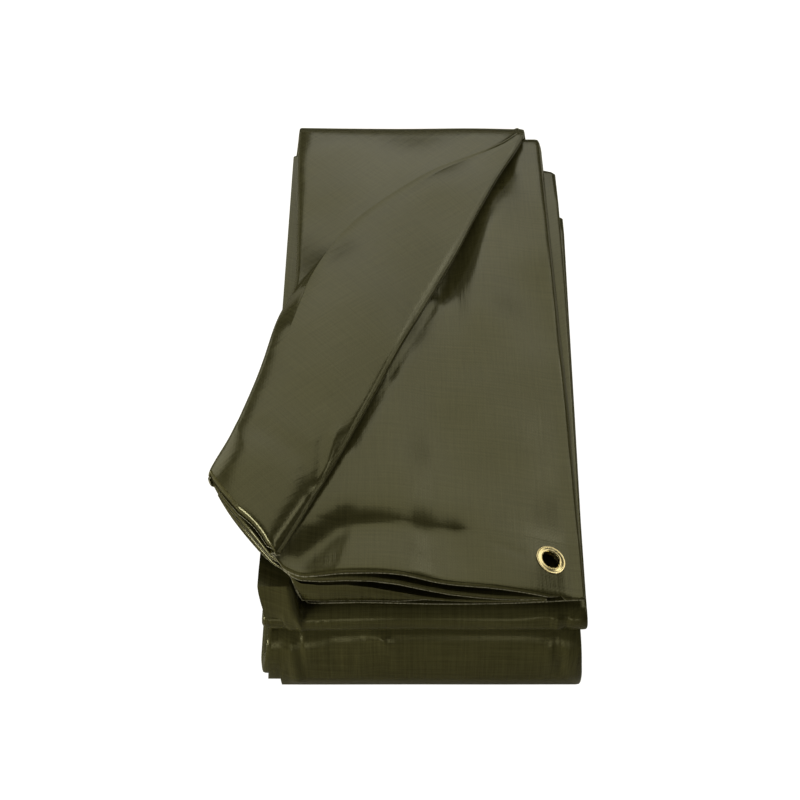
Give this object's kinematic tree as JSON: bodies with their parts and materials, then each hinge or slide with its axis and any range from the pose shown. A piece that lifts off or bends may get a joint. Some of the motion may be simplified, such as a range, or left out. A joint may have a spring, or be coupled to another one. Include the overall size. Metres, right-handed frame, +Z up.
{
  "type": "folded tarpaulin",
  "caption": "Waterproof ground and cover sheet folded into a thick rectangular bundle, its top layers turned back along a slanting crease, with a hemmed front edge and a brass corner eyelet.",
  "frame": {"origin": "middle of the bundle's bounding box, on the ground it rests on", "axes": "+Y runs along the bundle from the open hem at the front to the back folds, +X from the turned flap's side to the eyelet's side, +Z up"},
  "size_m": [0.3366, 0.6234, 0.1966],
  "materials": {
    "coated_cloth": "semi-gloss coated weave",
    "brass": "polished"
  },
  "bodies": {
    "root": {"tarp_sheet": "coated_cloth", "hem_strip": "coated_cloth", "eyelet": "brass", "eyelet_washer": "brass"}
  },
  "joints": []
}
